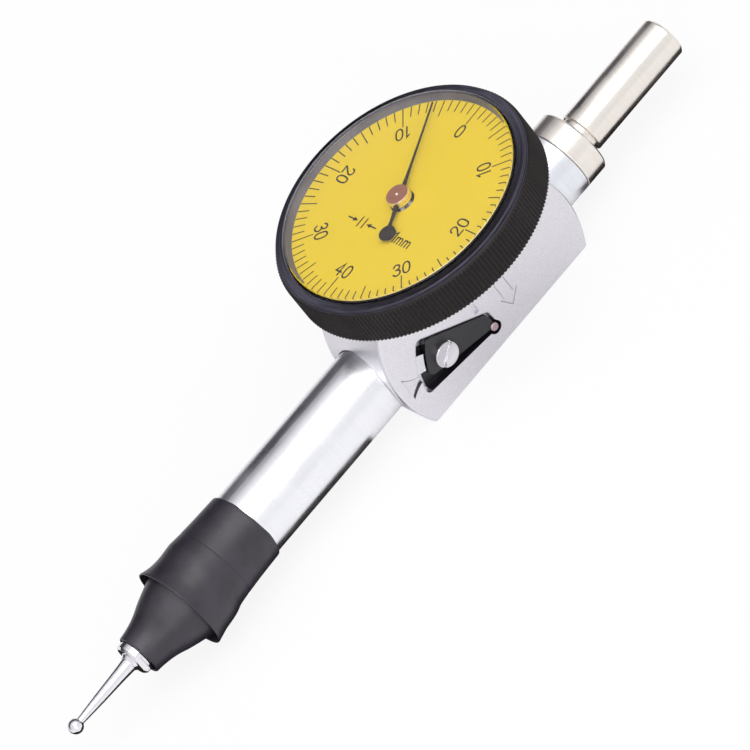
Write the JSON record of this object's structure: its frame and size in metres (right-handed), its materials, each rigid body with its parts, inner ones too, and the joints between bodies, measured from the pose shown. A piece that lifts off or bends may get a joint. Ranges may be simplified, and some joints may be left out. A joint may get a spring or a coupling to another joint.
{
  "type": "dial test indicator",
  "caption": "Pocket-type dial test indicator: stem-held body with knurled rotating bezel and yellow dial, tube, rubber boot and a swinging ball-ended contact point.",
  "frame": {"origin": "on the flat back face, straight under the dial axis", "axes": "+Z out of the dial face along the dial axis; +Y along the tube and stem axis towards the stem end; +X out of the side face with the direction lever"},
  "size_m": [0.0362, 0.1158, 0.0249],
  "materials": {
    "satin_plate": "satin pearl chrome plating on the cast body",
    "ground_steel": "ground and hardened steel",
    "satin_tube": "satin chrome tube",
    "black_rubber": "matt black moulded rubber",
    "chrome": "polished chrome",
    "black_bezel": "black anodised, knurled",
    "yellow_dial": "printed yellow dial plate",
    "clear_crystal": "clear domed crystal",
    "grey_retainer": "grey anodised sloped ring",
    "black_hand": "matt black hand",
    "bronze_hub": "polished brown bronze",
    "black_lever": "blackened steel",
    "spring_steel": "blued spring steel",
    "brass": "machined brass",
    "plate_steel": "blanked steel plate",
    "jewel": "ruby jewel"
  },
  "bodies": {
    "case": {"body": "satin_plate", "stem_bush": "satin_plate", "stem": "ground_steel", "tube": "satin_tube", "boot_sleeve": "black_rubber", "pivot_fork": "ground_steel", "contact_pivot": "ground_steel", "return_spring": "spring_steel", "movement_plate_left": "plate_steel", "movement_plate_right": "plate_steel", "plate_pillars": "brass", "plate_screws": "ground_steel", "jewel_bearings": "jewel", "hand_cock": "brass", "hand_bridge": "plate_steel", "hand_jewel": "jewel", "bridge_screws": "ground_steel", "hairspring": "spring_steel", "bezel_spring": "spring_steel", "direction_pivot": "ground_steel", "detent_ball": "ground_steel", "detent_spring": "spring_steel"},
    "contact_arm": {"contact_lever": "plate_steel", "drive_pin": "ground_steel"},
    "contact_point": {"stylus_holder": "chrome", "stylus": "chrome", "stylus_ball": "chrome", "boot_cone": "black_rubber"},
    "sector": {"sector_gear": "brass", "sector_arbor": "ground_steel"},
    "crown": {"crown_wheel": "brass", "crown_arbor": "ground_steel"},
    "pointer": {"hand_arbor": "ground_steel", "hand": "black_hand", "hand_hub": "bronze_hub"},
    "bezel_head": {"bezel": "black_bezel", "dial": "yellow_dial", "crystal_retainer": "grey_retainer", "crystal": "clear_crystal"},
    "lever": {"direction_lever": "black_lever", "direction_knob": "chrome"}
  },
  "joints": [
    {"name": "contact_swing", "type": "hinge", "parent": "case", "child": "contact_arm", "pos_m": [0, -0.057, 0.0075], "axis": [-1, 0, 0], "range_deg": [0, 2.8], "stiffness_Nm_per_rad": 0.01, "springref_deg": -8.59},
    {"name": "contact_tilt", "type": "hinge", "parent": "contact_arm", "child": "contact_point", "pos_m": [0, -0.057, 0.0075], "axis": [-1, 0, 0], "range_deg": [-30, 30], "deforming": ["boot_cone"]},
    {"name": "sector_turn", "type": "hinge", "parent": "case", "child": "sector", "pos_m": [0, -0.00675, 0.0075], "axis": [1, 0, 0], "range_deg": [0, 6.1]},
    {"name": "crown_turn", "type": "hinge", "parent": "case", "child": "crown", "pos_m": [0, 0, 0.0075], "axis": [-1, 0, 0], "range_deg": [0, 48.79]},
    {"name": "hand_turn", "type": "hinge", "parent": "case", "child": "pointer", "pos_m": [0, 0, 0.0222], "axis": [0, 0, -1], "range_deg": [0, 388.1]},
    {"name": "bezel_turn", "type": "hinge", "parent": "case", "child": "bezel_head", "pos_m": [0, 0, 0.0222], "axis": [0, 0, 1], "continuous": true},
    {"name": "direction_turn", "type": "hinge", "parent": "case", "child": "lever", "pos_m": [0.0055, -0.0027, 0.003], "axis": [1, 0, 0], "range_deg": [0, 6]}
  ],
  "couplings": [
    {"joint": "sector_turn", "follows": "contact_swing", "ratio": 2.1604},
    {"joint": "crown_turn", "follows": "contact_swing", "ratio": 17.283},
    {"joint": "hand_turn", "follows": "contact_swing", "ratio": 138.26}
  ]
}
